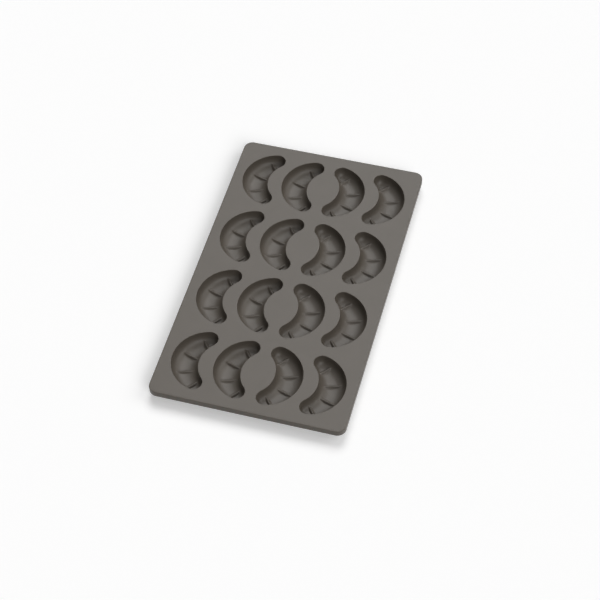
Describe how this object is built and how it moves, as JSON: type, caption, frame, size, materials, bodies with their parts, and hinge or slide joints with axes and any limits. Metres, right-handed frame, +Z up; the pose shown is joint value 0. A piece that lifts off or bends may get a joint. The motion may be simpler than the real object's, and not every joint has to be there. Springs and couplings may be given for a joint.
{
  "type": "crescent baking mould",
  "caption": "Flexible rectangular baking mould: a flat top sheet with a skirt round its edge and rows of curved crescent cups, each with raised creases across its floor.",
  "frame": {"origin": "middle of the mould's footprint, on the surface that the cups stand on", "axes": "+X along the short side, +Y along the long side, +Z up, out of the cups' mouths"},
  "size_m": [0.175, 0.3, 0.0131],
  "materials": {
    "silicone": "matte"
  },
  "bodies": {
    "root": {"cup_left_outer_1": "silicone", "cup_left_outer_2": "silicone", "cup_left_outer_3": "silicone", "cup_left_outer_4": "silicone", "cup_left_inner_1": "silicone", "cup_left_inner_2": "silicone", "cup_left_inner_3": "silicone", "cup_left_inner_4": "silicone", "cup_right_inner_1": "silicone", "cup_right_inner_2": "silicone", "cup_right_inner_3": "silicone", "cup_right_inner_4": "silicone", "cup_right_outer_1": "silicone", "cup_right_outer_2": "silicone", "cup_right_outer_3": "silicone", "cup_right_outer_4": "silicone", "top_sheet": "silicone", "rim_front": "silicone", "rim_back": "silicone", "rim_left": "silicone", "rim_right": "silicone"}
  },
  "joints": []
}
